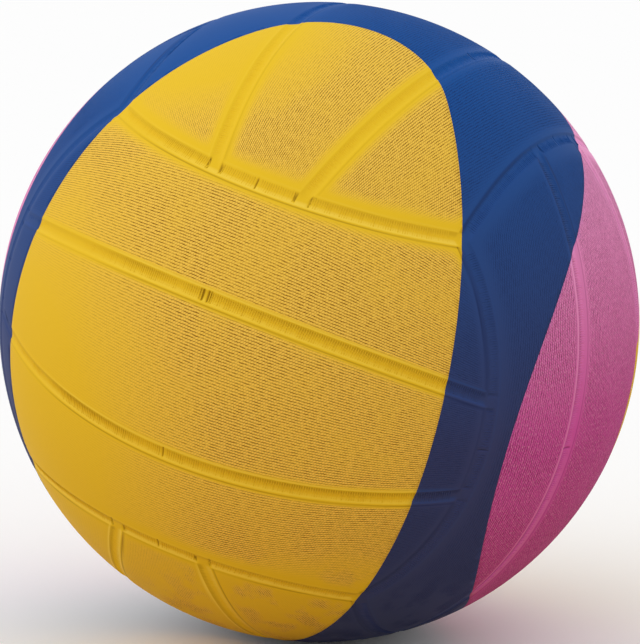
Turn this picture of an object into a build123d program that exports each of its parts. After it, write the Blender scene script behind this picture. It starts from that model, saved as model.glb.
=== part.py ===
"""Water polo ball: a moulded rubber ball with a wound carcass, a four-piece cover and a needle valve.

The origin is the centre of the ball, +Z is up and the middle of the front face looks along -Y.
The valve is on +Y, in the middle of the back face. Sizes are in millimetres, angles in degrees.
"""

import os
from math import acos, asin, cos, degrees, radians, sin, sqrt, tan

from build123d import *

os.makedirs("parts", exist_ok=True)

# Ball and the layers of its wall, from the outside inwards
ball_diameter = 221.0
cover_thickness = 1.2
carcass_thickness = 0.4
winding_thickness = 0.4
bladder_thickness = 0.55
bond_line = 0.15

# Cover relief: three raised strips on each of six faces, with moulded grooves between them
strip_lean = 16.5
middle_strip_angle = 28.8
groove_width = 6.8
groove_floor_width = 2.0
groove_depth = 0.7

# Cover colours: a round-nosed oval at the front and at the back, each in a ring of its own
oval_opening_angle = 90.0
oval_nose_radius = 51.0
ring_seam_angle = 60.0
seam_gap = 0.15

# Valve: a patch and a flanged housing inside the bladder, and a tapered plug for the needle
patch_radius = 18.0
patch_thickness = 0.8
flange_radius = 12.0
flange_thickness = 1.5
housing_radius = 5.0
housing_recess = 0.3
plug_overhang = 0.5
mouth_clearance = 0.15
plug_mouth_radius = 3.2
plug_foot_radius = 2.3
plug_length = 20.0
plug_recess = 0.6
socket_clearance = 0.05
needle_radius = 1.0
needle_depth = 15.0
needle_lead_in = 0.5

# Radii of the layers, each a bond line inside the one before
ball_radius = ball_diameter / 2
groove_floor = ball_radius - groove_depth
cover_inner = ball_radius - cover_thickness
carcass_outer = cover_inner - bond_line
carcass_inner = carcass_outer - carcass_thickness
winding_outer = carcass_inner - bond_line
winding_inner = winding_outer - winding_thickness
bladder_outer = winding_inner - bond_line
bladder_inner = bladder_outer - bladder_thickness
patch_outer = bladder_inner - bond_line
patch_inner = patch_outer - patch_thickness
flange_outer = patch_inner - bond_line
flange_inner = flange_outer - flange_thickness
valve_hole = housing_radius + mouth_clearance

# Directions of the cover layout, which leans to the right about the valve's axis
front = Vector(0, -1, 0)
right = Vector(cos(radians(strip_lean)), 0, -sin(radians(strip_lean)))
top = Vector(sin(radians(strip_lean)), 0, cos(radians(strip_lean)))
layout_turn = (0, strip_lean, 0)
reach = 1.2 * ball_radius

# The faces meet in the eight corners of a cube. An edge groove is a quarter circle between two
# corners, in a plane across one axis of the cube. An inner groove is an arc of a great circle.
corner_share = 1 / sqrt(3)
edge_latitude = asin(corner_share)
edge_arc = 90.0
inner_lean = middle_strip_angle / 2
inner_arc = 2 * degrees(acos(corner_share / cos(radians(inner_lean))))

# An oval is cut by a wedge through the ball, and the seam between the rings by a saddle that is ruled
# between two straight edges. The saddle crosses the front half at the sides, at the seam's angle.
saddle_share = cos(radians(ring_seam_angle)) / sin(radians(ring_seam_angle)) ** 2
saddle_reach = sqrt(2) * reach
saddle_rise = saddle_share * saddle_reach**2 / ball_radius
oval_flare = tan(radians(oval_opening_angle / 2))

# Heights of the valve along +Y
housing_top = ball_radius - housing_recess
plug_top = ball_radius - plug_recess
plug_foot = plug_top - plug_length
housing_foot = plug_foot + plug_overhang
plug_taper = (plug_mouth_radius - plug_foot_radius) / plug_length


def groove(start, axis, latitude, arc):
    """Groove swept round an axis from its start: a shallow V with a narrow floor, open past the ball."""
    mouth = groove_width / 2
    floor = groove_floor_width / 2
    flare = (mouth - floor) / groove_depth
    undercut = floor / 2 / flare
    corners = (
        (groove_floor - undercut, floor / 2),
        (ball_radius + groove_depth, mouth + flare * groove_depth),
        (ball_radius + groove_depth, -mouth - flare * groove_depth),
        (groove_floor - undercut, -floor / 2),
    )
    with BuildPart() as cut:
        with BuildSketch(Plane((0, 0, 0), x_dir=start, z_dir=start.cross(axis.direction))):
            with BuildLine():
                Polyline(
                    [
                        (r * cos(latitude) - w * sin(latitude), r * sin(latitude) + w * cos(latitude))
                        for r, w in corners
                    ],
                    close=True,
                )
            make_face()
        revolve(axis=axis, revolution_arc=arc)
    return cut.part


def layer_section(outer, inner):
    """Half section of a closed layer of the wall about +Y, with the valve hole at its pole."""
    with BuildSketch(Plane.XY) as section:
        Circle(outer)
        Circle(inner, mode=Mode.SUBTRACT)
        Rectangle(reach, 2 * reach, align=(Align.MAX, Align.CENTER), mode=Mode.SUBTRACT)
        Rectangle(valve_hole, reach, align=(Align.MIN, Align.MIN), mode=Mode.SUBTRACT)
    return section.sketch


def cap_section(outer, inner, rim):
    """Half section of a thin round cap about +Y, out to its rim."""
    with BuildSketch(Plane.XY) as section:
        Circle(outer)
        Circle(inner, mode=Mode.SUBTRACT)
        Rectangle(rim, reach, align=(Align.MIN, Align.MIN), mode=Mode.INTERSECT)
    return section.sketch


def socket_radius(height):
    """Radius of the housing's socket at a height along +Y: the plug's own taper, a clearance wider."""
    return plug_mouth_radius + socket_clearance + plug_taper * (height - plug_top)


def oval_wedge(nose, sweep, margin):
    """Wedge that opens along its nose direction, with a round nose, wider all round by a margin."""
    with BuildPart() as wedge:
        with BuildSketch(Plane((0, 0, 0), x_dir=nose, z_dir=sweep)):
            with BuildLine():
                FilletPolyline(
                    (reach, -reach * oval_flare),
                    (0, 0),
                    (reach, reach * oval_flare),
                    radius=oval_nose_radius,
                )
                Line((reach, reach * oval_flare), (reach, -reach * oval_flare))
            make_face()
            if margin:
                offset(amount=margin)
        extrude(amount=reach, both=True)
    return wedge.part


def saddle_half(facing):
    """All that lies on one side of the saddle seam between the rings, short of it by half the gap."""
    crest = front * saddle_rise + facing * (seam_gap / 2)
    dip = facing * (seam_gap / 2) - front * saddle_rise
    with BuildPart() as half:
        with BuildLine():
            upper_edge = Line(crest + right * saddle_reach, dip + top * saddle_reach)
            lower_edge = Line(dip - top * saddle_reach, crest - right * saddle_reach)
        seam = Face.make_surface_from_curves(upper_edge.edge(), lower_edge.edge())
        extrude(seam, amount=2 * (saddle_rise + reach), dir=facing)
    return half.part


# Cover sheet as the mould leaves it: a plain ply with eighteen raised strips.
# Every face has its own normal, the direction of its strips and the direction across them.
faces = [
    (normal * side, along, across)
    for normal, along, across in ((front, right, top), (right, top, front), (top, front, right))
    for side in (1, -1)
]

grooves = []
for normal, along, across in faces:
    for side in (1, -1):
        edge_axis = Axis((0, 0, 0), across * side)
        edge_start = normal.rotate(edge_axis, -edge_arc / 2)
        grooves.append(groove(edge_start, edge_axis, edge_latitude, edge_arc))
        inner_middle = normal.rotate(Axis((0, 0, 0), along), side * inner_lean)
        inner_axis = Axis((0, 0, 0), inner_middle.cross(along))
        inner_start = inner_middle.rotate(inner_axis, -inner_arc / 2)
        grooves.append(groove(inner_start, inner_axis, 0, inner_arc))

with BuildPart() as raised_strips:
    Sphere(ball_radius, rotation=layout_turn)
    Sphere(groove_floor, rotation=layout_turn, mode=Mode.SUBTRACT)
    add(grooves, mode=Mode.SUBTRACT)

with BuildPart() as cover_sheet:
    Sphere(groove_floor, rotation=layout_turn)
    Sphere(cover_inner, rotation=layout_turn, mode=Mode.SUBTRACT)
    add(raised_strips.part)

# Yellow front: an oval that follows the length of the front
with BuildPart() as cover_yellow_front:
    add(cover_sheet.part)
    add(oval_wedge(front, top, 0), mode=Mode.INTERSECT)

cover_yellow_front.part.label = "cover_yellow_front"
export_step(cover_yellow_front.part, "parts/cover_yellow_front.step")

# Blue ring: round the front oval, out to the saddle seam
with BuildPart() as cover_blue_ring:
    add(cover_sheet.part)
    add(saddle_half(front), mode=Mode.INTERSECT)
    add(oval_wedge(front, top, seam_gap), mode=Mode.SUBTRACT)

cover_blue_ring.part.label = "cover_blue_ring"
export_step(cover_blue_ring.part, "parts/cover_blue_ring.step")

# Pink ring: round the back oval, out to the same seam
with BuildPart() as cover_pink_ring:
    add(cover_sheet.part)
    add(saddle_half(-front), mode=Mode.INTERSECT)
    add(oval_wedge(-front, right, seam_gap), mode=Mode.SUBTRACT)

cover_pink_ring.part.label = "cover_pink_ring"
export_step(cover_pink_ring.part, "parts/cover_pink_ring.step")

# Yellow back: an oval across the back, with the mouth of the valve
with BuildPart() as cover_yellow_back:
    add(cover_sheet.part)
    add(oval_wedge(-front, right, 0), mode=Mode.INTERSECT)
    with BuildSketch(Plane.XZ):
        Circle(valve_hole)
    extrude(amount=-reach, mode=Mode.SUBTRACT)

cover_yellow_back.part.label = "cover_yellow_back"
export_step(cover_yellow_back.part, "parts/cover_yellow_back.step")

# Rubber carcass: the middle layer that the cover is bonded to
with BuildPart() as rubber_carcass:
    add(layer_section(carcass_outer, carcass_inner))
    revolve(axis=Axis.Y)

rubber_carcass.part.label = "rubber_carcass"
export_step(rubber_carcass.part, "parts/rubber_carcass.step")

# Nylon winding: thread in latex, wound all round the bladder
with BuildPart() as nylon_winding:
    add(layer_section(winding_outer, winding_inner))
    revolve(axis=Axis.Y)

nylon_winding.part.label = "nylon_winding"
export_step(nylon_winding.part, "parts/nylon_winding.step")

# Bladder: the butyl layer that holds the air
with BuildPart() as bladder:
    add(layer_section(bladder_outer, bladder_inner))
    revolve(axis=Axis.Y)

bladder.part.label = "bladder"
export_step(bladder.part, "parts/bladder.step")

# Valve patch: a disc vulcanised to the inside of the bladder, round the valve hole
with BuildPart() as valve_patch:
    with BuildSketch(Plane.XY):
        add(cap_section(patch_outer, patch_inner, patch_radius))
        Rectangle(valve_hole, reach, align=(Align.MIN, Align.MIN), mode=Mode.SUBTRACT)
    revolve(axis=Axis.Y)

valve_patch.part.label = "valve_patch"
export_step(valve_patch.part, "parts/valve_patch.step")

# Valve housing: a flange on the patch and a sleeve through the wall, with a conical socket
with BuildPart() as valve_housing:
    with BuildSketch(Plane.XY):
        add(cap_section(flange_outer, flange_inner, flange_radius))
        with Locations((0, housing_foot)):
            Rectangle(housing_radius, housing_top - housing_foot, align=(Align.MIN, Align.MIN))
        with BuildLine():
            Polyline(
                (0, housing_foot - plug_length),
                (socket_radius(housing_foot - plug_length), housing_foot - plug_length),
                (socket_radius(ball_radius), ball_radius),
                (0, ball_radius),
                close=True,
            )
        make_face(mode=Mode.SUBTRACT)
    revolve(axis=Axis.Y)

valve_housing.part.label = "valve_housing"
export_step(valve_housing.part, "parts/valve_housing.step")

# Valve plug: a tapered rubber plug with a blind channel that grips the needle
with BuildPart() as valve_plug:
    with BuildSketch(Plane.XY):
        with BuildLine():
            Polyline(
                (0, plug_foot),
                (plug_foot_radius, plug_foot),
                (plug_mouth_radius, plug_top),
                (needle_radius + needle_lead_in, plug_top),
                (needle_radius, plug_top - needle_lead_in),
                (needle_radius, plug_top - needle_depth),
                (0, plug_top - needle_depth),
                close=True,
            )
        make_face()
    revolve(axis=Axis.Y)

valve_plug.part.label = "valve_plug"
export_step(valve_plug.part, "parts/valve_plug.step")
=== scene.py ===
from math import acos, asin, cos, pi, radians, sin, sqrt, tan

import bmesh
import bpy
import numpy as np
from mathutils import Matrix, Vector


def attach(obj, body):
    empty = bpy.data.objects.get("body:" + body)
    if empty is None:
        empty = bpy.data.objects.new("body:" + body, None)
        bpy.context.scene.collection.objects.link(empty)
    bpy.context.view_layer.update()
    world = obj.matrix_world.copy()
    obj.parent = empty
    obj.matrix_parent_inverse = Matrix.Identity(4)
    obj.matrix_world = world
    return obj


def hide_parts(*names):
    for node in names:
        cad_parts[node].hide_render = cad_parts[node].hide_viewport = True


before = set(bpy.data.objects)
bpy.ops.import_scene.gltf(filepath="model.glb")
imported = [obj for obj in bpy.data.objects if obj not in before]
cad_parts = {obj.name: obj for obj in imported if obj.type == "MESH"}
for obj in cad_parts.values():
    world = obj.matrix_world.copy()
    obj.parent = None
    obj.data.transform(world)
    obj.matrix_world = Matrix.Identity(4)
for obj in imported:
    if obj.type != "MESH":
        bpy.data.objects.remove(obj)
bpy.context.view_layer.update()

# Viewpoint: a long lens about 1.4 m from the ball, a little above its middle and to the right of its
# front. The ball's outline fills the picture, a hair left of the middle.
mm = 0.001
ball_radius = 110.5 * mm
view_azimuth = radians(24.18)
view_elevation = radians(10.21)
view_distance = 12.87 * ball_radius
picture_height = 644
outline_radius = 320.4
outline_left = 0.8

camera_data = bpy.data.cameras.new("camera")
outline_tangent = tan(asin(ball_radius / view_distance))
camera_data.lens = camera_data.sensor_width * outline_radius / picture_height / outline_tangent
camera_data.shift_x = outline_left / picture_height
camera = bpy.data.objects.new("camera", camera_data)
bpy.context.collection.objects.link(camera)
view_direction = Vector(
    (
        sin(view_azimuth) * cos(view_elevation),
        -cos(view_azimuth) * cos(view_elevation),
        sin(view_elevation),
    )
)
camera.location = view_direction * view_distance
camera.rotation_euler = view_direction.to_track_quat("Z", "Y").to_euler()
bpy.context.scene.camera = camera

# Bladder: the black butyl bag that holds the air, moulded and cured as one hollow ball. It is dusted with
# talc so that it never sticks to itself, and the eye sees a dull black with a pale cloudy film.
butyl_black = "201F1F"
talc_white = "8C8985"
talc_cloud = 14.0 * mm
talc_from, talc_to = 0.45, 0.75
talc_cover = 0.4
butyl_grain = 0.7 * mm
butyl_relief = 0.04 * mm
bare_roughness, dusted_roughness = 0.5, 0.9
rubber_ior = 1.5


def linear(hex_colour):
    """A colour given as sRGB hex digits, in linear light."""
    channels = [int(hex_colour[k : k + 2], 16) / 255 for k in (0, 2, 4)]
    return (*(c / 12.92 if c <= 0.04045 else ((c + 0.055) / 1.055) ** 2.4 for c in channels), 1.0)


def connect(tree, node, links):
    """Feeds a node's sockets. A link is a node, one of its sockets or a plain value."""
    for socket, value in links.items():
        if isinstance(value, bpy.types.Node):
            value = value.outputs[0]
        if isinstance(value, bpy.types.NodeSocket):
            tree.links.new(value, node.inputs[socket])
        else:
            node.inputs[socket].default_value = value


def add_node(tree, kind, links=None, **settings):
    """Adds a node with its settings, and feeds its sockets."""
    node = tree.nodes.new(kind)
    for name, value in settings.items():
        setattr(node, name, value)
    connect(tree, node, links or {})
    return node


def new_material(name):
    """A new material, with its node tree, its shader and the place of each point on the object."""
    material = bpy.data.materials.new(name)
    material.use_nodes = True
    tree = material.node_tree
    place = add_node(tree, "ShaderNodeTexCoord").outputs["Object"]
    return material, tree, tree.nodes["Principled BSDF"], place


butyl, tree, shader, place = new_material("moulded_butyl_rubber")
cloud = add_node(tree, "ShaderNodeTexNoise", {"Vector": place, "Scale": 1 / talc_cloud, "Detail": 5.0})
talc = add_node(
    tree,
    "ShaderNodeMapRange",
    {"Value": cloud, "From Min": talc_from, "From Max": talc_to, "To Max": talc_cover},
)
colour = add_node(
    tree, "ShaderNodeMix", {0: talc, 6: linear(butyl_black), 7: linear(talc_white)}, data_type="RGBA"
).outputs[2]
grain = add_node(tree, "ShaderNodeTexNoise", {"Vector": place, "Scale": 1 / butyl_grain})
relief = add_node(tree, "ShaderNodeBump", {"Height": grain, "Distance": butyl_relief})
roughness = add_node(
    tree, "ShaderNodeMapRange", {"Value": talc, "To Min": bare_roughness, "To Max": dusted_roughness}
)
connect(tree, shader, {"Base Color": colour, "Normal": relief, "Roughness": roughness, "IOR": rubber_ior})
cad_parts["bladder"].material_slots[0].material = butyl

# Patch: a disc of the same butyl, buffed on a wheel and vulcanised to the bladder where the valve goes in.
# The buffing shows as fine rings about the valve, paler than the rubber between them.
patch_black = "1C1B1B"
buffed_grey = "3A3938"
buff_pitch = 1.2 * mm
buff_stray = 1.5
buffed_roughness = 0.8
wave_turns = 20 / (2 * pi)  # waves to a metre in a wave texture of scale 1
patch_butyl, tree, shader, place = new_material("buffed_butyl_sheet")
rings = add_node(
    tree,
    "ShaderNodeTexWave",
    {"Vector": place, "Scale": 1 / (buff_pitch * wave_turns), "Distortion": buff_stray, "Detail": 2.0},
    wave_type="RINGS",
    rings_direction="Y",
).outputs["Fac"]
colour = add_node(
    tree, "ShaderNodeMix", {0: rings, 6: linear(patch_black), 7: linear(buffed_grey)}, data_type="RGBA"
).outputs[2]
relief = add_node(tree, "ShaderNodeBump", {"Height": rings, "Distance": butyl_relief})
connect(tree, shader, {"Base Color": colour, "Normal": relief})
connect(tree, shader, {"Roughness": buffed_roughness, "IOR": rubber_ior})
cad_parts["valve_patch"].material_slots[0].material = patch_butyl

# Winding: nylon thread wound over the bladder in all directions until it is round and strong, then wetted
# with latex. The eye sees ivory threads in crossing bands, each with its own small highlight.
thread_gap = "A3987C"
thread_ivory = "E8E1CE"
thread_pitch = 0.9 * mm
thread_stray = 0.6
thread_relief = 0.2 * mm
thread_roughness = 0.45
nylon_ior = 1.53
winding_turns = ((0.0, 0.3, 0.2), (0.9, 0.0, 0.7), (0.4, 1.2, 0.0), (1.3, 0.6, 1.0))
winding, tree, shader, place = new_material("wound_nylon_thread")
threads = None
for turns in winding_turns:
    turned = add_node(tree, "ShaderNodeMapping", {"Vector": place, "Rotation": turns})
    strands = add_node(
        tree,
        "ShaderNodeTexWave",
        {"Vector": turned, "Scale": 1 / (thread_pitch * wave_turns), "Distortion": thread_stray},
        bands_direction="Z",
    ).outputs["Fac"]
    if threads:
        threads = add_node(tree, "ShaderNodeMath", {0: threads, 1: strands}, operation="MAXIMUM")
    else:
        threads = strands
colour = add_node(
    tree, "ShaderNodeMix", {0: threads, 6: linear(thread_gap), 7: linear(thread_ivory)}, data_type="RGBA"
).outputs[2]
relief = add_node(tree, "ShaderNodeBump", {"Height": threads, "Distance": thread_relief})
connect(tree, shader, {"Base Color": colour, "Normal": relief})
connect(tree, shader, {"Roughness": thread_roughness, "IOR": nylon_ior})
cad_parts["nylon_winding"].material_slots[0].material = winding

# Carcass: black natural rubber, rolled into sheet between cloth liners and cured over the winding, to give
# the cover a smooth base. The liners leave a faint square weave in a matte skin.
carcass_black = "252321"
liner_crest = "38352F"
liner_pitch = 0.8 * mm
liner_stray = 0.4
liner_relief = 0.05 * mm
carcass_roughness = 0.75
carcass_ior = 1.52
carcass, tree, shader, place = new_material("calendered_carcass_rubber")
weave = None
for direction in ("X", "Z"):
    yarns = add_node(
        tree,
        "ShaderNodeTexWave",
        {"Vector": place, "Scale": 1 / (liner_pitch * wave_turns), "Distortion": liner_stray},
        bands_direction=direction,
    ).outputs["Fac"]
    if weave:
        weave = add_node(tree, "ShaderNodeMath", {0: weave, 1: yarns}, operation="MULTIPLY")
    else:
        weave = yarns
colour = add_node(
    tree, "ShaderNodeMix", {0: weave, 6: linear(carcass_black), 7: linear(liner_crest)}, data_type="RGBA"
).outputs[2]
relief = add_node(tree, "ShaderNodeBump", {"Height": weave, "Distance": liner_relief})
connect(tree, shader, {"Base Color": colour, "Normal": relief})
connect(tree, shader, {"Roughness": carcass_roughness, "IOR": carcass_ior})
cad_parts["rubber_carcass"].material_slots[0].material = carcass

# Cover layout: six faces as on a cube, each with three strips of moulded rubber. The strips of
# neighbouring faces run across each other, and the whole layout leans to the right about the valve.
lean = radians(16.5)
front = np.array((0.0, -1.0, 0.0))
right = np.array((cos(lean), 0.0, -sin(lean)))
top = np.array((sin(lean), 0.0, cos(lean)))
corner = 1 / sqrt(3)
edge_square = 2 / 3  # of the radius of the circle that an edge groove lies on
edge_lean = asin(corner)
inner_lean = radians(14.4)

# Each pair of faces: its normal, the way its strips run, the way across them, and the side of each
# groove that has the lip and the flutes: first edge, first inner, second inner and second edge groove.
face_pairs = (
    (front, right, top, (1, 1, 1, 1)),
    (right, top, front, (-1, 1, -1, 1)),
    (top, front, right, (1, -1, -1, 1)),
)


def steps(start, stop, step):
    """Angles from start up to stop, evenly spaced about a step apart, without stop itself."""
    return np.linspace(start, stop, max(1, round((stop - start) / step)), endpoint=False)


# Lines of the cover's grid on one half of a face: close together at the grooves and at the middle,
# where the mould left its marks, and wider apart on the strips.
mark_band = 0.9 * mm / ball_radius
groove_band = 4.2 * mm / ball_radius
mark_step = 0.25 * mm / ball_radius
groove_step = 0.38 * mm / ball_radius
strip_step = 1.9 * mm / ball_radius
half_leans = np.concatenate(
    (
        steps(0, mark_band, mark_step),
        steps(mark_band, inner_lean - groove_band, strip_step),
        steps(inner_lean - groove_band, inner_lean, groove_step),
        steps(inner_lean, inner_lean + groove_band, groove_step),
        steps(inner_lean + groove_band, edge_lean - groove_band, strip_step),
        steps(edge_lean - groove_band, edge_lean, groove_step),
        [edge_lean],
    )
)
leans = np.concatenate((-half_leans[:0:-1], half_leans))

# A line along the strips lies in a plane, "across = rise + slope * height" over the ball's centre. The
# planes of the middle strip hinge on its axis, and those of an outer strip turn from groove to edge.
inner_slope = tan(inner_lean)
outer_share = (np.sin(abs(leans)) - inner_slope * np.cos(leans)) / (corner - inner_slope * np.cos(leans))
outer_share = np.clip(outer_share, 0, 1)
rise = np.sign(leans) * outer_share * corner
outer_slope = np.sign(leans) * (1 - outer_share) * inner_slope
slope = np.where(abs(leans) <= inner_lean, np.tan(leans), outer_slope)

# A line across the strips lies in a plane through the face's own hinge, turned so that it meets the
# lines of the neighbouring face at the edge. Each grid point is where two such planes cut the ball.
end_place = rise + slope * corner
hinge_turn = np.arctan2(end_place, np.sqrt(edge_square - end_place**2) - corner)
turned = np.sin(hinge_turn)[:, None] ** 2
upright = np.cos(hinge_turn)[:, None] ** 2
square_term = turned + (slope**2 + 1) * upright
linear_term = 2 * (rise * slope * upright - corner * turned)
constant_term = corner**2 * turned + (rise**2 - 1) * upright
root = np.sqrt(np.maximum(linear_term**2 - 4 * square_term * constant_term, 0))
grid_height = (root - linear_term) / (2 * square_term)
grid_across = rise + slope * grid_height
grid_along = np.sign(hinge_turn)[:, None] * np.sqrt(np.maximum(1 - grid_across**2 - grid_height**2, 0))

# Groove section, from the creased side to the side with the lip and the flutes: places across the
# groove and depths under the ball's outermost skin.
section_reach = 4.2 * mm
groove_depth = 0.5 * mm
skin_depth = 0.06 * mm
crease_place = -2.75 * mm
section = (
    (-3.3 * mm, skin_depth),
    (crease_place, 0.18 * mm),
    (-2.4 * mm, 0.13 * mm),
    (-1.6 * mm, 0.36 * mm),
    (-0.8 * mm, groove_depth),
    (0.2 * mm, 0.47 * mm),
    (1.2 * mm, 0.36 * mm),
    (2.1 * mm, 0.16 * mm),
    (2.7 * mm, 0.0),
    (3.5 * mm, skin_depth),
)

# Marks of the mould's pins across the fluted wall: one or two at mid length, and a pair where a groove
# of the next face comes in. They carry painted shade, darker on a wall that looks down.
mark_half_width = 0.28 * mm
mark_shade = 0.7
faint_mark = 0.2
mark_pair_half = 2.45 * mm
twin_half = 0.85 * mm
mark_wall = (-1.9 * mm, -1.2 * mm, 2.2 * mm, 2.7 * mm)
junction = corner * inner_slope * ball_radius
edge_marks = (0, junction - mark_pair_half, junction + mark_pair_half)


def ramp(value, start, stop):
    """Smooth rise from 0 at start to 1 at stop."""
    share = np.clip((value - start) / (stop - start), 0, 1)
    return share * share * (3 - 2 * share)


def band(value, foot, foot_end, head, head_end):
    """1 from foot_end to head, and fading to 0 at foot and at head_end."""
    return ramp(value, foot, foot_end) * ramp(-value, -head_end, -head)


def line(value, middle, half_width):
    """Soft line: 1 in its middle, and fading to 0 within about two half widths."""
    return np.exp(-(((value - middle) / half_width) ** 2))


def marks(offset, run, places):
    """How deep a point lies in the marks that cross the fluted wall at the given places of its run."""
    bars = [line(run, place, mark_half_width) for place in places]
    return band(offset, *mark_wall) * np.max(bars, axis=0)


# Cover blank: all six faces as one smooth skin. Each point knows how far it is from the grooves around
# it, how its strip lies, how much of the cloth's imprint it takes, and its tone: above 0 for painted shade
# in a mark, a crease or under a lip, below 0 for a painted highlight on a lip or on the lit floor of a
# groove.
lip_margins = ((3.4 * mm, 9.5 * mm), (4.2 * mm, 9.5 * mm))
crease_margin = (2.9 * mm, 6.5 * mm)
inner_margins = ((2.9 * mm, 4.4 * mm), (2.9 * mm, 4.4 * mm), (2.9 * mm, 7.0 * mm))
groove_mouth = (2.0 * mm, 2.8 * mm)
crease_half_width = 0.24 * mm
lip_place = 2.9 * mm
lip_half_width = 0.32 * mm
wall_band = (0.3 * mm, 1.7 * mm, 2.3 * mm, 2.7 * mm)
floor_band = (-2.3 * mm, -1.8 * mm, -0.9 * mm, 0.1 * mm)
shade_run = (4.0 * mm, 36.0 * mm)
middle_shade = 0.25
creased_wall_shade = 1.7

# Strength of the painted shade in the crease, the painted highlight on the lip, the painted shade on the
# walls and the painted highlight on the floor: in every edge groove, and in the inner grooves of each pair
# of faces, first on the face itself and then on the one opposite.
edge_looks = (0.5, 0.15, 0.2, 0.5)
inner_looks = (
    ((0.5, 0.5, 0.32, 0.3), (0.5, 0.5, 0.32, 0.3)),
    ((0.5, 0.5, 0.4, 0.5), (0.5, 0.5, 0.4, 0.5)),
    ((0.15, 0.1, 0.04, 0.05), (0.6, 0.9, 0.3, 0.4)),
)

# The more a lip rises towards the daylight, the more the wall under it looks down; else the creased wall
# looks down. The wall that looks down gets painted shade, and under a high lip the floor gets a painted
# highlight. On the soft side these painted shades and highlights mostly fade out, and the flutes sink.
daylight = np.array((-0.3, -0.2, 0.93))
shaded_rise = (-0.45, 0.4)
creased_rise = (-0.75, -0.25)
lit_rise = (0.28, 0.45)
soft_side = np.array((-0.70, -0.62, 0.36))
soft_reach = (0.78, 0.93)
soft_share = 0.75

offset_names = ("long_offset", "end_offset", "inner_offset")
layers = {name: [] for name in (*offset_names, "dent", "knit", "tone")}
points, lays, quads = [], [], []
numbers = np.arange(grid_across.size).reshape(grid_across.shape)
face_quads = np.stack((numbers[:-1, :-1], numbers[1:, :-1], numbers[1:, 1:], numbers[:-1, 1:]), axis=-1)
half = np.where(grid_across >= 0, 1, -1)
edge_offset = np.arcsin(grid_across) - half * edge_lean
end_offset = np.arcsin(grid_height) - edge_lean
groove_offset = np.arcsin(grid_across * cos(inner_lean) - half * grid_height * sin(inner_lean))
along_run = abs(grid_along) * ball_radius
across_run = abs(grid_across) * ball_radius
lay = np.stack((np.arcsin(grid_along), np.arctan2(grid_across, grid_height)), axis=-1)
for pair, (normal, along, across, lips) in enumerate(face_pairs):
    end_lips = face_pairs[(pair + 1) % 3][3]
    inner_marks = (twin_half,) if normal is front else (0,)
    edge_lip = np.where(half > 0, lips[0], lips[3])
    inner_lip = np.where(half > 0, lips[1], lips[2])
    for opposite, side in enumerate((1, -1)):
        end_lip = np.full_like(half, end_lips[0] if side > 0 else end_lips[3])
        offsets = [
            ball_radius * edge_lip * edge_offset,
            ball_radius * end_lip * side * end_offset,
            ball_radius * inner_lip * groove_offset,
        ]
        lip_ways = [edge_lip[..., None] * across, end_lip[..., None] * normal, inner_lip[..., None] * across]
        place = np.stack((grid_along * side, grid_across, grid_height * side), axis=-1)
        place = place @ np.stack((along, across, normal))
        first_marks, second_marks = (marks(offsets[2], along_run, spots) for spots in (inner_marks, (0,)))
        groove_marks = (
            marks(offsets[0], along_run, edge_marks),
            marks(offsets[1], across_run, edge_marks),
            np.where(half > 0, first_marks, second_marks),
        )
        dent = np.max(groove_marks, axis=0)
        knit = np.ones_like(dent)
        tone = np.zeros_like(dent)
        for number, (offset, lip_way, mark) in enumerate(zip(offsets, lip_ways, groove_marks)):
            if number == 2:
                lip_margin = far_margin = inner_margins[pair]
                crease, lightening, wall_shade, floor_highlight = inner_looks[pair][opposite]
            else:
                lip_margin, far_margin = lip_margins[number], crease_margin
                crease, lightening, wall_shade, floor_highlight = edge_looks
            knit *= np.where(offset > 0, ramp(offset, *lip_margin), ramp(-offset, *far_margin))
            clear = 1 - dent
            for other in offsets[:number] + offsets[number + 1 :]:
                clear = clear * ramp(abs(other), *groove_mouth)
            # Painted light: shade on the marks, on the wall that looks down and in the crease, and
            # highlights on the lip and on the floor under a high lip.
            lip_rise = lip_way @ daylight - np.sum(lip_way * place, axis=-1) * (place @ daylight)
            shaded = ramp(lip_rise, *shaded_rise)
            lip_wall = shaded * band(offset, *wall_band)
            creased_wall = (1 - shaded) * creased_wall_shade * band(-offset, *wall_band)
            reach = ramp(across_run if number == 1 else along_run, *shade_run)
            creased = ramp(lip_rise, *creased_rise) * line(offset, crease_place, crease_half_width)
            lit_floor = ramp(lip_rise, *lit_rise) * band(offset, *floor_band)
            tone += mark_shade * (faint_mark + (1 - faint_mark) * shaded) * mark
            tone += clear * wall_shade * (lip_wall + creased_wall) * (middle_shade + (1 - middle_shade) * reach)
            tone += clear * crease * creased
            tone -= clear * lightening * line(offset, lip_place, lip_half_width)
            tone -= clear * floor_highlight * lit_floor
        tone *= 1 - soft_share * ramp(place @ soft_side, *soft_reach)
        quads.append(face_quads.reshape(-1, 4) + len(points) * grid_across.size)
        points.append(place.reshape(-1, 3) * ball_radius)
        lays.append(lay.reshape(-1, 2) * ball_radius)
        shares = [np.clip(offset / section_reach, -1, 1) for offset in offsets]
        for name, values in zip(layers, (*shares, dent, knit, tone)):
            layers[name].append(values.reshape(-1))

weld_gap = 0.01 * mm
blank = bpy.data.meshes.new("cover_blank")
quads = np.concatenate(quads)
blank.from_pydata(np.concatenate(points), [], quads.tolist())
corner_lays = np.concatenate(lays)[quads.reshape(-1)]
blank.uv_layers.new(name="strip_lay").data.foreach_set("uv", corner_lays.astype(np.float32).reshape(-1))
for name, values in layers.items():
    layer = blank.attributes.new(name, "FLOAT", "POINT")
    layer.data.foreach_set("value", np.concatenate(values).astype(np.float32))
skin = bmesh.new()
skin.from_mesh(blank)
bmesh.ops.remove_doubles(skin, verts=skin.verts, dist=weld_gap)

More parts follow.
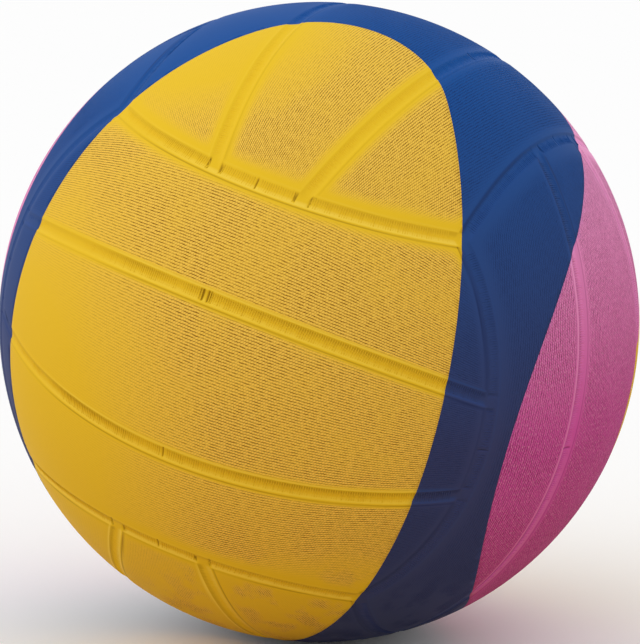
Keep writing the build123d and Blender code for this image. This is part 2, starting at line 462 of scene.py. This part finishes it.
# Seat of the valve: a shallow dish in the middle of the back face, pressed by a plain steel button in the
# mould, so that it is smooth and has no grooves about it. The sleeve comes through a hole in its middle.
valve_hole = 5.15 * mm
dish_rim = (7.6 * mm, 8.8 * mm)
dish_margin = (9.5 * mm, 12.5 * mm)
dish_cuts = 3
seat_reach = 18.0 * mm


def valve_distance(point):
    """Distance from the valve's axis, or the ball's size for a point of the front half."""
    return sqrt(point.x**2 + point.z**2) if point.y > 0 else ball_radius


seat = [face for face in skin.faces if valve_distance(face.calc_center_median()) < dish_margin[1]]
seat_edges = list({edge for face in seat for edge in face.edges})
bmesh.ops.subdivide_edges(skin, edges=seat_edges, cuts=dish_cuts, use_grid_fill=True)
dent_layer, knit_layer = (skin.verts.layers.float[name] for name in ("dent", "knit"))
offset_layers = [skin.verts.layers.float[name] for name in offset_names]
for vertex in skin.verts:
    distance = valve_distance(vertex.co)
    if distance < seat_reach:
        for layer in offset_layers:
            vertex[layer] = 1.0
    if distance < dish_margin[1]:
        vertex.co = vertex.co.normalized() * ball_radius
        vertex[dent_layer] = 1 - float(ramp(distance, *dish_rim))
        vertex[knit_layer] = float(ramp(distance, *dish_margin))

# Colours: sheets of dyed rubber laid in the mould, an oval with round ends at the front and at the
# back, and between them two rings that meet in a wavy seam.
oval_nose_radius = 51.0 * mm
nose_middle = oval_nose_radius * sqrt(2)
on_line = 0.04 * mm
seam_angle = radians(60)
seam_bend = cos(seam_angle) / sin(seam_angle) ** 2 / ball_radius


def oval(point, ahead, aside):
    """How far a point lies inside an oval, from its place along the nose and across it."""
    forward = point.dot(Vector(ahead))
    sideways = abs(point.dot(Vector(aside)))
    if sideways < nose_middle - forward:
        return oval_nose_radius - sqrt(sideways**2 + (forward - nose_middle) ** 2)
    return (forward - sideways) / sqrt(2)


def front_oval(point):
    """How far a point lies inside the front oval."""
    return oval(point, front, right)


def back_oval(point):
    """How far a point lies inside the back oval."""
    return oval(point, -front, top)


def ring_seam(point):
    """How far a point lies in front of the seam between the rings."""
    bend = point.dot(Vector(right)) ** 2 - point.dot(Vector(top)) ** 2
    return point.dot(Vector(front)) - seam_bend * bend


def valve_mouth(point):
    """How far a point lies outside the hole for the valve."""
    return valve_distance(point) - valve_hole


def cut_along(sheet, field):
    """Splits a sheet's faces along the line where a field over it is zero."""
    inside = {vertex: field(vertex.co) for vertex in sheet.verts}
    cuts = [vertex for vertex, depth in inside.items() if abs(depth) < on_line]
    for edge in list(sheet.edges):
        first, second = (inside[vertex] for vertex in edge.verts)
        if first * second < 0 and min(abs(first), abs(second)) >= on_line:
            cuts.append(bmesh.utils.edge_split(edge, edge.verts[0], first / (first - second))[1])
    bmesh.ops.connect_verts(sheet, verts=cuts)


def panel_of(point):
    """Name of the sheet that a point of the skin belongs to, or nothing in the valve's hole."""
    if valve_mouth(point) < 0:
        return None
    if front_oval(point) > 0:
        return "cover_yellow_front"
    if back_oval(point) > 0:
        return "cover_yellow_back"
    return "cover_blue_ring" if ring_seam(point) > 0 else "cover_pink_ring"


for field in (front_oval, back_oval, ring_seam, valve_mouth):
    cut_along(skin, field)
panels = [panel_of(face.calc_center_median()) for face in skin.faces]
skin.to_mesh(blank)
skin.free()

# Thickness: each colour is cut from the blank as a sheet of rubber 1.2 mm thick. Its inner skin is smooth
# and lies on the carcass, and a rim closes it along its cut edges.
cover_thickness = 1.2 * mm
cover_inner = ball_radius - cover_thickness


def cover_sheet(panel):
    """One sheet of the blank as a closed shell, with an inner skin and a rim along its cut edges."""
    sheet = bmesh.new()
    sheet.from_mesh(blank)
    spare = [face for face, owner in zip(sheet.faces, panels) if owner != panel]
    bmesh.ops.delete(sheet, geom=spare, context="FACES")
    rim_loops = [edge.link_loops[0] for edge in sheet.edges if edge.is_boundary]
    rim = [(loop.vert, loop.link_loop_next.vert) for loop in rim_loops]
    inner = bmesh.ops.duplicate(sheet, geom=sheet.verts[:] + sheet.edges[:] + sheet.faces[:])
    inner_faces = [item for item in inner["geom"] if isinstance(item, bmesh.types.BMFace)]
    inner_verts = [item for item in inner["geom"] if isinstance(item, bmesh.types.BMVert)]
    for vertex in inner_verts:
        vertex.co = vertex.co.normalized() * cover_inner
        for name in layers:
            vertex[sheet.verts.layers.float[name]] = 1.0 if name in offset_names else 0.0
    bmesh.ops.reverse_faces(sheet, faces=inner_faces)
    below = inner["vert_map"]
    for first, second in rim:
        sheet.faces.new((second, first, below[first], below[second]))
    mesh = bpy.data.meshes.new(panel + "_sheet")
    sheet.to_mesh(mesh)
    sheet.free()
    mesh.shade_smooth()
    return mesh


# Flutes: fine ribs across the wall under each groove's lip, cut into the mould to let the air out.
# They follow the grooves and stop short of the corners, the junctions and the marks.
flute_pitch = 0.8 * mm
flute_half_width = 0.25 * mm
flute_height = 0.2 * mm
flute_root = 0.03 * mm
flute_places = (-1.7 * mm, -0.5 * mm, 1.1 * mm, 2.55 * mm)
flute_rises = (0.0, 0.7, 1.0, 0.25)
# Painted shade on the flanks of each rib, strongest under the lip, and a painted highlight on its ridge.
flute_shades = (0.0, 0.4, 0.75, 0.8)
flute_highlight = (0.0, -0.2, -0.35, -0.15)
flute_tilt = 0.03
rib_corners = 3
corner_gap = 5.0 * mm
junction_gap = 3.2 * mm
mark_gap = 1.5 * mm
edge_boldness = 0.7
inner_boldness = (1.0, 1.0, 0.35)
path_step = 2.0 * mm

section_places, section_depths = zip(*section)
flute_verts, flute_faces, flute_values = [], [], []
for place, share, shade, lightening in zip(flute_places, flute_rises, flute_shades, flute_highlight):
    wall = -np.interp(place, section_places, section_depths) - place**2 / (2 * ball_radius)
    flute_verts += [
        (-flute_half_width, place, wall - flute_root),
        (0.0, place, wall + share * flute_height),
        (flute_half_width, place, wall - flute_root),
    ]
    flute_values += [shade, lightening, shade]
last = len(flute_verts) - rib_corners
for start in range(0, last, rib_corners):
    for k in range(rib_corners):
        first, second = start + k, start + (k + 1) % rib_corners
        flute_faces.append((first, second, second + rib_corners, first + rib_corners))
flute_faces += [(2, 1, 0), (last, last + 1, last + 2)]
flute_mesh = bpy.data.meshes.new("flute")
flute_mesh.from_pydata(flute_verts, [], flute_faces)
flute_mesh.attributes.new("tone", "FLOAT", "POINT").data.foreach_set("value", flute_values)
flute_rib = bmesh.new()
flute_rib.from_mesh(flute_mesh)
bmesh.ops.recalc_face_normals(flute_rib, faces=flute_rib.faces)
flute_rib.to_mesh(flute_mesh)
flute_rib.free()
flute = bpy.data.objects.new("flute", flute_mesh)

# Paths of the flutes along the middle of each groove. A path runs the way that has the lip on its left,
# seen from outside, and its radius says how bold the flutes are.
path_curve = bpy.data.curves.new("groove_paths", "CURVE")
path_curve.dimensions = "3D"
for (normal, along, across, lips), boldness in zip(face_pairs, inner_boldness):
    for side in (1, -1):
        for lip, way, kind in zip(lips, (1, 1, -1, -1), ("edge", "inner", "inner", "edge")):
            if kind == "edge":
                lift = across * way * corner
                middle = normal * side * sqrt(edge_square)
                half_turn = pi / 4
                swing = along * sqrt(edge_square)
                stops = (mark_gap, junction - junction_gap, junction + junction_gap)
            else:
                lift = 0 * across
                middle = normal * side * cos(inner_lean) + across * way * sin(inner_lean)
                half_turn = acos(corner / cos(inner_lean))
                swing = along
                stops = (mark_gap,)
            path_radius = ball_radius * np.linalg.norm(middle)
            ends = (*stops, half_turn * path_radius - corner_gap)
            if np.dot(np.cross(middle, swing), across) * lip < 0:
                swing = -swing
            for start, stop in zip(ends[0::2], ends[1::2]):
                for mirror in (1, -1):
                    turns = np.linspace(start, stop, max(2, round((stop - start) / path_step))) / path_radius
                    turns = turns if mirror > 0 else -turns[::-1]
                    places = lift + np.cos(turns)[:, None] * middle + np.sin(turns)[:, None] * swing
                    spline = path_curve.splines.new("POLY")
                    spline.points.add(len(turns) - 1)
                    coordinates = np.column_stack((places * ball_radius, np.ones(len(turns))))
                    spline.points.foreach_set("co", coordinates.reshape(-1))
                    bold = edge_boldness if kind == "edge" else boldness
                    bold = bold * (1 - ramp(places @ soft_side, *soft_reach))
                    spline.points.foreach_set("radius", bold)
groove_paths = bpy.data.objects.new("groove_paths", path_curve)


# Moulding: the press gives a blank sheet its grooves and marks, and sets the flutes on their walls. No two
# flutes are quite alike, and they fade in patches where the mould is worn.
dent_depth = 0.3 * mm
flute_sink = 0.12 * mm
on_sheet = 0.12 * mm
fade_size = 16.0 * mm
fade_from, fade_to = 0.52, 0.8
least_flute = (0.88, 0.95, 1.0)
largest_flute = (1.06, 1.0, 1.0)
moulding = bpy.data.node_groups.new("moulding", "GeometryNodeTree")
moulding_inputs = (
    ("Sheet", "NodeSocketGeometry"),
    ("Groove Depth", "NodeSocketFloat"),
    ("Dent Depth", "NodeSocketFloat"),
    ("Groove Paths", "NodeSocketObject"),
    ("Flute", "NodeSocketObject"),
    ("Flute Pitch", "NodeSocketFloat"),
    ("Flute Sink", "NodeSocketFloat"),
    ("Flute Tilt", "NodeSocketFloat"),
    ("Seed", "NodeSocketInt"),
    ("Rubber", "NodeSocketMaterial"),
)
for name, kind in moulding_inputs:
    moulding.interface.new_socket(name, in_out="INPUT", socket_type=kind)
moulding.interface.new_socket("Piece", in_out="OUTPUT", socket_type="NodeSocketGeometry")
given = add_node(moulding, "NodeGroupInput").outputs

depth = None
for name in offset_names:
    offset = add_node(moulding, "GeometryNodeInputNamedAttribute", {"Name": name}, data_type="FLOAT")
    share = add_node(moulding, "ShaderNodeMapRange", {"Value": offset, "From Min": -1.0, "From Max": 1.0})
    profile = add_node(moulding, "ShaderNodeFloatCurve", {"Value": share})
    curve = profile.mapping.curves[0]
    for place, fall in section:
        curve.points.new((place / section_reach + 1) / 2, fall / groove_depth)
    curve.points[0].location = (0, skin_depth / groove_depth)
    curve.points[-1].location = (1, skin_depth / groove_depth)
    for point in curve.points:
        point.handle_type = "AUTO_CLAMPED"
    profile.mapping.update()
    if depth:
        depth = add_node(moulding, "ShaderNodeMath", {0: depth, 1: profile}, operation="MAXIMUM")
    else:
        depth = profile
dent = add_node(moulding, "GeometryNodeInputNamedAttribute", {"Name": "dent"}, data_type="FLOAT")
dented = add_node(moulding, "ShaderNodeMath", {0: dent, 1: given["Dent Depth"]}, operation="MULTIPLY")
fall = add_node(
    moulding, "ShaderNodeMath", {0: depth, 1: given["Groove Depth"], 2: dented}, operation="MULTIPLY_ADD"
)
inward = add_node(moulding, "ShaderNodeMath", {0: fall, 1: -1.0}, operation="MULTIPLY")
position = add_node(moulding, "GeometryNodeInputPosition")
outward = add_node(moulding, "ShaderNodeVectorMath", {0: position}, operation="NORMALIZE")
press = add_node(moulding, "ShaderNodeVectorMath", {0: outward, "Scale": inward}, operation="SCALE")
pressed = add_node(moulding, "GeometryNodeSetPosition", {"Geometry": given["Sheet"], "Offset": press})

paths = add_node(moulding, "GeometryNodeObjectInfo", {"Object": given["Groove Paths"]})
pitched = add_node(
    moulding,
    "GeometryNodeResampleCurve",
    {"Curve": paths.outputs["Geometry"], "Length": given["Flute Pitch"]},
    mode="LENGTH",
)
bold_points = add_node(
    moulding,
    "GeometryNodeStoreNamedAttribute",
    {"Geometry": pitched, "Name": "boldness", "Value": add_node(moulding, "GeometryNodeInputRadius")},
    data_type="FLOAT",
    domain="POINT",
)
tangent = add_node(moulding, "GeometryNodeInputTangent")
turn = add_node(
    moulding,
    "FunctionNodeAxesToRotation",
    {"Primary Axis": outward, "Secondary Axis": tangent},
    primary_axis="Z",
    secondary_axis="X",
)
lip_way = add_node(moulding, "ShaderNodeVectorMath", {0: outward, 1: tangent}, operation="CROSS_PRODUCT")
farthest = None
for place in (flute_places[0], flute_places[-1]):
    end = add_node(moulding, "ShaderNodeVectorMath", {0: lip_way, "Scale": place}, operation="SCALE")
    spot = add_node(moulding, "ShaderNodeVectorMath", {0: position, 1: end}, operation="ADD")
    nearby = add_node(
        moulding,
        "GeometryNodeProximity",
        {"Geometry": given["Sheet"], "Sample Position": spot},
        target_element="FACES",
    ).outputs["Distance"]
    if farthest:
        farthest = add_node(moulding, "ShaderNodeMath", {0: farthest, 1: nearby}, operation="MAXIMUM")
    else:
        farthest = nearby
own = add_node(
    moulding, "FunctionNodeCompare", {0: farthest, 1: on_sheet}, operation="LESS_THAN", data_type="FLOAT"
)
rib = add_node(moulding, "GeometryNodeObjectInfo", {"Object": given["Flute"]})
size = add_node(
    moulding,
    "FunctionNodeRandomValue",
    {"Min": least_flute, "Max": largest_flute, "Seed": given["Seed"]},
    data_type="FLOAT_VECTOR",
)
ribs = add_node(
    moulding,
    "GeometryNodeInstanceOnPoints",
    {
        "Points": bold_points,
        "Selection": own,
        "Instance": rib.outputs["Geometry"],
        "Rotation": turn,
        "Scale": size,
    },
)
fade = add_node(
    moulding, "ShaderNodeTexNoise", {"Scale": 1 / fade_size, "Detail": 4.0}, noise_dimensions="3D"
)
fade_share = add_node(
    moulding,
    "ShaderNodeMapRange",
    {"Value": fade, "From Min": fade_from, "From Max": fade_to, "To Max": -1.0},
)
bold = add_node(moulding, "GeometryNodeInputNamedAttribute", {"Name": "boldness"}, data_type="FLOAT")
missing = add_node(moulding, "ShaderNodeMath", {0: bold, 1: 1.0}, operation="SUBTRACT")
sunk_share = add_node(moulding, "ShaderNodeMath", {0: fade_share, 1: missing}, operation="ADD")
sink = add_node(moulding, "ShaderNodeMath", {0: sunk_share, 1: given["Flute Sink"]}, operation="MULTIPLY")
drop = add_node(moulding, "ShaderNodeCombineXYZ", {"Z": sink})
sunk = add_node(moulding, "GeometryNodeTranslateInstances", {"Instances": ribs, "Translation": drop})
lean_share = add_node(
    moulding,
    "FunctionNodeRandomValue",
    {"Max": (1.0, 0.0, 0.0), "Seed": given["Seed"]},
    data_type="FLOAT_VECTOR",
)
tilt = add_node(
    moulding, "ShaderNodeVectorMath", {0: lean_share, "Scale": given["Flute Tilt"]}, operation="SCALE"
)
set_ribs = add_node(
    moulding,
    "GeometryNodeRotateInstances",
    {"Instances": sunk, "Rotation": tilt, "Pivot Point": (0.0, flute_places[-1], 0.0)},
)
joined = add_node(moulding, "GeometryNodeJoinGeometry", {"Geometry": pressed})
moulding.links.new(set_ribs.outputs[0], joined.inputs["Geometry"])
real = add_node(moulding, "GeometryNodeRealizeInstances", {"Geometry": joined})
finished = add_node(
    moulding, "GeometryNodeSetMaterial", {"Geometry": real, "Material": given["Rubber"]}
)
add_node(moulding, "NodeGroupOutput", {"Piece": finished})


def moulded_piece(name, mesh, values):
    """Runs a blank sheet through the moulding and keeps the result as a plain mesh."""
    piece = bpy.data.objects.new(name, mesh)
    bpy.context.collection.objects.link(piece)
    press_run = piece.modifiers.new("moulding", "NODES")
    press_run.node_group = moulding
    for item in moulding.interface.items_tree:
        if item.in_out == "INPUT" and item.name in values:
            press_run[item.identifier] = values[item.name]
    settled = piece.evaluated_get(bpy.context.evaluated_depsgraph_get())
    result = bpy.data.meshes.new_from_object(settled)
    piece.modifiers.remove(press_run)
    piece.data = result
    return piece


# Cover rubber: natural rubber cured in the mould against a knitted cloth, which leaves fine rows of
# stitches along each strip. The eye sees a matte skin, purer in colour where it is smooth or its imprint
# is faint. Painted light makes it lighter towards the top of the ball, painted shade with some soiling
# darkens the rows between the stitches, and painted highlights pale its lips, ridges and lit floors.
row_pitch = 1.0 * mm
row_waver = 2.6 * mm
row_gap = 0.42
row_depth = 0.1 * mm
row_shade = 1.15
stitch_length = 0.8 * mm
stitch_slant = radians(32)
stitch_stray = 3.0
notch_gap, notch_share = 0.45, 0.3
# Heights where the colour starts and stops turning from its bottom colour to its top colour: painted light
# and sheen from above.
bottom_tint_height, top_tint_height = -25.0 * mm, 90.0 * mm
smooth_roughness, knit_roughness = 0.52, 0.72
rubber_sheen = 0.04

# Patchy shares over a strip: the size of a patch along it and across it, the detail and the roughness of
# the noise, the noise from which and to which the share grows, and the least and the full share.
dashes = (2.6 * mm, 1.0 * mm, 3.0, 0.8, 0.34, 0.62, 0.3, 1.0)
worn_patches = (24.0 * mm, 24.0 * mm, 2.0, 0.5, 0.35, 0.55, 0.82, 1.0)
left_patches = (14.0 * mm, 14.0 * mm, 3.0, 0.5, 0.46, 0.62, 0.12, 1.0)
flecks = (1.1 * mm, 0.45 * mm, 2.0, 0.5, 0.5, 0.75, 0.0)

# Sides where the imprint fades, and with it the rows' painted shade and their bump: the direction, how near
# to it the fading starts and is full, and the share that is left there, or nothing where it is left in
# patches.
faint_imprint_sides = (
    (Vector((-0.69, -0.69, -0.2)), 0.64, 0.9, 0.1),
    (Vector((-0.176, -0.341, 0.927)), 0.88, 0.97, 0.1),
    (Vector((0.1, -0.35, -0.93)), 0.8, 0.88, None),
)


def cover_rubber(name, smooth, crest, valley, highlight_and_fleck_colour, imprint, stray, fray, shade_gain):
    """Dyed rubber: its colours where smooth and on the cloth's rows, both at the bottom of the ball and at
    its top, where painted light makes them lighter, its painted shade colour between the rows and in the
    crevices, the colour of its painted highlights and pale flecks, the strength of the imprint, how far its
    rows stray, how frayed the cloth was, and how strong its painted shade in the crevices is."""
    material, tree, shader, place = new_material(name)
    lay = add_node(tree, "ShaderNodeUVMap", uv_map="strip_lay")
    knit = add_node(tree, "ShaderNodeAttribute", attribute_name="knit").outputs["Fac"]
    tone = add_node(tree, "ShaderNodeAttribute", attribute_name="tone").outputs["Fac"]

    patchy = []
    for pattern in (dashes, worn_patches, left_patches, (*flecks, fray)):
        length, width, detail, rough, start, stop, least, full = pattern
        stretch = add_node(tree, "ShaderNodeMapping", {"Vector": lay, "Scale": (1 / length, 1 / width, 1.0)})
        noise = add_node(
            tree,
            "ShaderNodeTexNoise",
            {"Vector": stretch, "Scale": 1.0, "Detail": detail, "Roughness": rough},
            noise_dimensions="2D",
        )
        share = add_node(
            tree,
            "ShaderNodeMapRange",
            {"Value": noise, "From Min": start, "From Max": stop, "To Min": least, "To Max": full},
        )
        patchy.append(share)
    dash, kept, patches, fleck_share = patchy

    rows = add_node(
        tree,
        "ShaderNodeTexWave",
        {
            "Vector": lay,
            "Scale": 1 / (row_pitch * wave_turns),
            "Distortion": stray,
            "Detail": 3.0,
            "Detail Scale": row_pitch * wave_turns / row_waver,
        },
        bands_direction="Y",
    ).outputs["Fac"]
    gap = add_node(tree, "ShaderNodeMapRange", {"Value": rows, "From Min": row_gap, "From Max": 0.0})
    slanted = add_node(tree, "ShaderNodeMapping", {"Vector": lay, "Rotation": (0.0, 0.0, stitch_slant)})
    stitches = add_node(
        tree,
        "ShaderNodeTexWave",
        {
            "Vector": slanted,
            "Scale": 1 / (stitch_length * wave_turns),
            "Distortion": stitch_stray,
            "Detail": 1.0,
        },
        bands_direction="X",
    ).outputs["Fac"]
    notch = add_node(
        tree,
        "ShaderNodeMapRange",
        {"Value": stitches, "From Min": notch_gap, "From Max": 0.0, "To Max": notch_share},
    )
    row_print = add_node(tree, "ShaderNodeMath", {0: gap, 1: dash}, operation="MULTIPLY")
    full_print = add_node(tree, "ShaderNodeMath", {0: row_print, 1: notch}, operation="MAXIMUM")

    for side, start, stop, left in faint_imprint_sides:
        facing = add_node(
            tree, "ShaderNodeVectorMath", {0: place, 1: side / ball_radius}, operation="DOT_PRODUCT"
        ).outputs["Value"]
        left = patches if left is None else left
        imprint_fade = add_node(
            tree,
            "ShaderNodeMapRange",
            {"Value": facing, "From Min": start, "From Max": stop, "To Min": 1.0, "To Max": left},
        )
        kept = add_node(tree, "ShaderNodeMath", {0: kept, 1: imprint_fade}, operation="MULTIPLY")
    cloth = add_node(tree, "ShaderNodeMath", {0: kept, 1: knit}, operation="MULTIPLY")
    depth = add_node(tree, "ShaderNodeMath", {0: full_print, 1: cloth}, operation="MULTIPLY")
    row_tone = add_node(tree, "ShaderNodeMath", {0: depth, 1: row_shade * imprint}, operation="MULTIPLY")
    # Painted shade in the crevices, creases and under the lips from the tone above 0, and painted highlights
    # on lips, ridges and lit floors from the tone below 0, together with the flecks.
    crevice_shade = add_node(tree, "ShaderNodeMath", {0: tone, 1: shade_gain}, operation="MULTIPLY")
    shade = add_node(tree, "ShaderNodeMath", {0: row_tone, 1: crevice_shade}, operation="MAXIMUM")
    painted_highlight = add_node(tree, "ShaderNodeMath", {0: tone, 1: -1.0}, operation="MULTIPLY", use_clamp=True)
    fleck_wear = add_node(tree, "ShaderNodeMath", {0: fleck_share, 1: cloth}, operation="MULTIPLY")
    lightening = add_node(tree, "ShaderNodeMath", {0: painted_highlight, 1: fleck_wear}, operation="MAXIMUM")

    # Painted light: the colour turns towards its top colour higher up the ball.
    height = add_node(tree, "ShaderNodeSeparateXYZ", {"Vector": place}).outputs["Z"]
    top_tint = add_node(
        tree, "ShaderNodeMapRange", {"Value": height, "From Min": bottom_tint_height, "From Max": top_tint_height}
    )
    colours = [
        add_node(
            tree, "ShaderNodeMix", {0: top_tint, 6: linear(bottom_colour), 7: linear(pale)}, data_type="RGBA"
        ).outputs[2]
        for bottom_colour, pale in (smooth, crest)
    ]
    colour, knit_colour = colours
    for share, other in ((cloth, knit_colour), (lightening, linear(highlight_and_fleck_colour)), (shade, linear(valley))):
        mixed = add_node(tree, "ShaderNodeMix", {0: share, 6: colour, 7: other}, data_type="RGBA")
        colour = mixed.outputs[2]
    relief = add_node(
        tree, "ShaderNodeBump", {"Height": depth, "Distance": row_depth * imprint}, invert=True
    )
    roughness = add_node(
        tree, "ShaderNodeMapRange", {"Value": cloth, "To Min": smooth_roughness, "To Max": knit_roughness}
    )
    connect(tree, shader, {"Base Color": colour, "Normal": relief, "Roughness": roughness})
    connect(tree, shader, {"IOR": rubber_ior, "Specular IOR Level": rubber_sheen})
    return material


yellow_rubber = cover_rubber(
    "yellow_cover_rubber",
    smooth=("EEC52C", "EEC528"),
    crest=("FFD05A", "FFD054"),
    valley="784A0A",
    highlight_and_fleck_colour="FFE060",
    imprint=1.0,
    stray=1.7,
    fray=0.35,
    shade_gain=1.0,
)
blue_rubber = cover_rubber(
    "blue_cover_rubber",
    smooth=("3B4272", "1A529C"),
    crest=("3B4272", "1A529C"),
    valley="1A2452",
    highlight_and_fleck_colour="2C4E94",
    imprint=0.65,
    stray=2.8,
    fray=0.2,
    shade_gain=1.25,
)
pink_rubber = cover_rubber(
    "pink_cover_rubber",
    smooth=("D459B4", "FFB2E2"),
    crest=("D456B2", "FFB2E2"),
    valley="742552",
    highlight_and_fleck_colour="F6B6E2",
    imprint=1.0,
    stray=4.0,
    fray=0.5,
    shade_gain=1.0,
)
cover_sheets = (
    ("cover_yellow_front", "front_oval_sheet", yellow_rubber, "yellow_cover", 1),
    ("cover_blue_ring", "blue_ring_sheet", blue_rubber, "blue_cover", 2),
    ("cover_pink_ring", "pink_ring_sheet", pink_rubber, "pink_cover", 3),
    ("cover_yellow_back", "back_oval_sheet", yellow_rubber, "yellow_cover", 4),
)
for node_name, piece_name, rubber, slot, seed in cover_sheets:
    piece = moulded_piece(
        piece_name,
        cover_sheet(node_name),
        {
            "Groove Depth": groove_depth,
            "Dent Depth": dent_depth,
            "Groove Paths": groove_paths,
            "Flute": flute,
            "Flute Pitch": flute_pitch,
            "Flute Sink": flute_sink,
            "Flute Tilt": flute_tilt,
            "Seed": seed,
            "Rubber": rubber,
        },
    )
    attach(piece, "ball")
    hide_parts(node_name)
bpy.data.objects.remove(flute)
bpy.data.objects.remove(groove_paths)

# Valve housing: a black rubber sleeve through the wall, moulded with a thin flange that is cemented under
# the carcass. Its mouth stands a hair proud of the dish in the cover.
housing_radius = 5.0 * mm
housing_top = 110.2 * mm
housing_foot = 90.4 * mm
flange_radius = 12.0 * mm
flange_outer = 106.4 * mm
flange_inner = 104.9 * mm
socket_mouth = 3.2635 * mm
socket_foot = 2.3725 * mm
flange_steps = 6
turning_steps = 72
turning_weld = 0.002 * mm
rounding = 0.22 * mm
rounding_steps = 3
sharp_angle = radians(30)
flange_places = np.linspace(housing_radius, flange_radius, flange_steps)


def turned_piece(name, outline):
    """A piece turned about the valve's axis from half its section, with its edges rounded."""
    turned = bmesh.new()
    verts = [turned.verts.new((radius, height, 0.0)) for radius, height in outline]
    edges = [turned.edges.new(pair) for pair in zip(verts, verts[1:])]
    if outline[0][0] > 0:
        edges.append(turned.edges.new((verts[-1], verts[0])))
    bmesh.ops.spin(
        turned, geom=verts + edges, cent=(0, 0, 0), axis=(0, 1, 0), angle=2 * pi, steps=turning_steps
    )
    bmesh.ops.remove_doubles(turned, verts=turned.verts, dist=turning_weld)
    bmesh.ops.recalc_face_normals(turned, faces=turned.faces)
    mesh = bpy.data.meshes.new(name)
    turned.to_mesh(mesh)
    turned.free()
    mesh.shade_smooth()
    piece = bpy.data.objects.new(name, mesh)
    bpy.context.collection.objects.link(piece)
    bevel = piece.modifiers.new("rounding", "BEVEL")
    bevel.width = rounding
    bevel.segments = rounding_steps
    bevel.limit_method = "ANGLE"
    bevel.angle_limit = sharp_angle
    bevel.harden_normals = True
    return piece


# Valve rubber: a soft black compound from a polished mould. The eye sees a satin black with a faint dusty
# bloom and the fine pitting of the tool.
valve_black = "1E1E1F"
bloom_grey = "353433"
bloom_size = 2.2 * mm
bloom_from, bloom_to = 0.4, 0.7
pit_size = 0.35 * mm
pit_depth = 0.03 * mm
polished_roughness, bloom_roughness = 0.4, 0.6
valve_rubber, tree, shader, place = new_material("moulded_valve_rubber")
cloud = add_node(tree, "ShaderNodeTexNoise", {"Vector": place, "Scale": 1 / bloom_size, "Detail": 4.0})
bloom = add_node(tree, "ShaderNodeMapRange", {"Value": cloud, "From Min": bloom_from, "From Max": bloom_to})
colour = add_node(
    tree, "ShaderNodeMix", {0: bloom, 6: linear(valve_black), 7: linear(bloom_grey)}, data_type="RGBA"
).outputs[2]
pits = add_node(tree, "ShaderNodeTexNoise", {"Vector": place, "Scale": 1 / pit_size})
relief = add_node(tree, "ShaderNodeBump", {"Height": pits, "Distance": pit_depth})
roughness = add_node(
    tree, "ShaderNodeMapRange", {"Value": bloom, "To Min": polished_roughness, "To Max": bloom_roughness}
)
connect(tree, shader, {"Base Color": colour, "Normal": relief, "Roughness": roughness, "IOR": rubber_ior})

housing_outline = [(socket_mouth, housing_top), (housing_radius, housing_top)]
housing_outline += [(place, sqrt(flange_outer**2 - place**2)) for place in flange_places]
housing_outline += [(place, sqrt(flange_inner**2 - place**2)) for place in flange_places[::-1]]
housing_outline += [(housing_radius, housing_foot), (socket_foot, housing_foot)]
housing = turned_piece("valve_sleeve", housing_outline)
housing.data.materials.append(valve_rubber)
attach(housing, "ball")
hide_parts("valve_housing")

# Valve plug: a taper of the same black rubber, pushed into the sleeve and held by its stretch. A blind
# channel with a flared mouth takes the inflation needle.
plug_top = 109.9 * mm
plug_foot = 89.9 * mm
plug_mouth_radius = 3.2 * mm
plug_foot_radius = 2.3 * mm
needle_radius = 1.0 * mm
needle_depth = 15.0 * mm
flare = 0.5 * mm
plug_outline = [
    (0.0, plug_foot),
    (plug_foot_radius, plug_foot),
    (plug_mouth_radius, plug_top),
    (needle_radius + flare, plug_top),
    (needle_radius, plug_top - flare),
    (needle_radius, plug_top - needle_depth),
    (0.0, plug_top - needle_depth),
]
plug = turned_piece("needle_plug", plug_outline)
plug.data.materials.append(valve_rubber)
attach(plug, "valve")
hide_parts("valve_plug")

# Studio: a soft light from the upper left and a white room above a pale floor. The floor shows white
# to the eye, with the ball's shadow, and throws back less light than it shows.
bpy.context.scene.view_settings.view_transform = "Standard"
room_white = "FFFFFF"
room_light = 0.9
key_light = 0.5
key_spread = radians(60)
key_direction = Vector((-0.85, -0.5, 0.6))
paper_shown = "FFFFFF"
paper_lit = "CCB27C"
floor_half = 6.0
floor_signs = ((-1, -1), (1, -1), (1, 1), (-1, 1))

world = bpy.data.worlds.new("studio")
world.use_nodes = True
room = world.node_tree.nodes["Background"]
connect(world.node_tree, room, {"Color": linear(room_white), "Strength": room_light})
bpy.context.scene.world = world

key_data = bpy.data.lights.new("key", "SUN")
key_data.energy = key_light
key_data.angle = key_spread
key = bpy.data.objects.new("key", key_data)
key.rotation_euler = key_direction.to_track_quat("Z", "Y").to_euler()
bpy.context.collection.objects.link(key)

floor_mesh = bpy.data.meshes.new("floor")
floor_corners = [(x * floor_half, y * floor_half, -ball_radius) for x, y in floor_signs]
floor_mesh.from_pydata(floor_corners, [], [(0, 1, 2, 3)])
floor = bpy.data.objects.new("floor", floor_mesh)
bpy.context.collection.objects.link(floor)
paper = bpy.data.materials.new("studio_paper")
paper.use_nodes = True
tree = paper.node_tree
ray = add_node(tree, "ShaderNodeLightPath").outputs
seen = ray["Is Camera Ray"]
for other in ("Is Glossy Ray", "Is Transmission Ray"):
    seen = add_node(tree, "ShaderNodeMath", {0: seen, 1: ray[other]}, operation="MAXIMUM")
colour = add_node(
    tree, "ShaderNodeMix", {0: seen, 6: linear(paper_lit), 7: linear(paper_shown)}, data_type="RGBA"
).outputs[2]
shader = tree.nodes["Principled BSDF"]
connect(tree, shader, {"Base Color": colour, "Roughness": 1.0, "Specular IOR Level": 0.0})
floor_mesh.materials.append(paper)
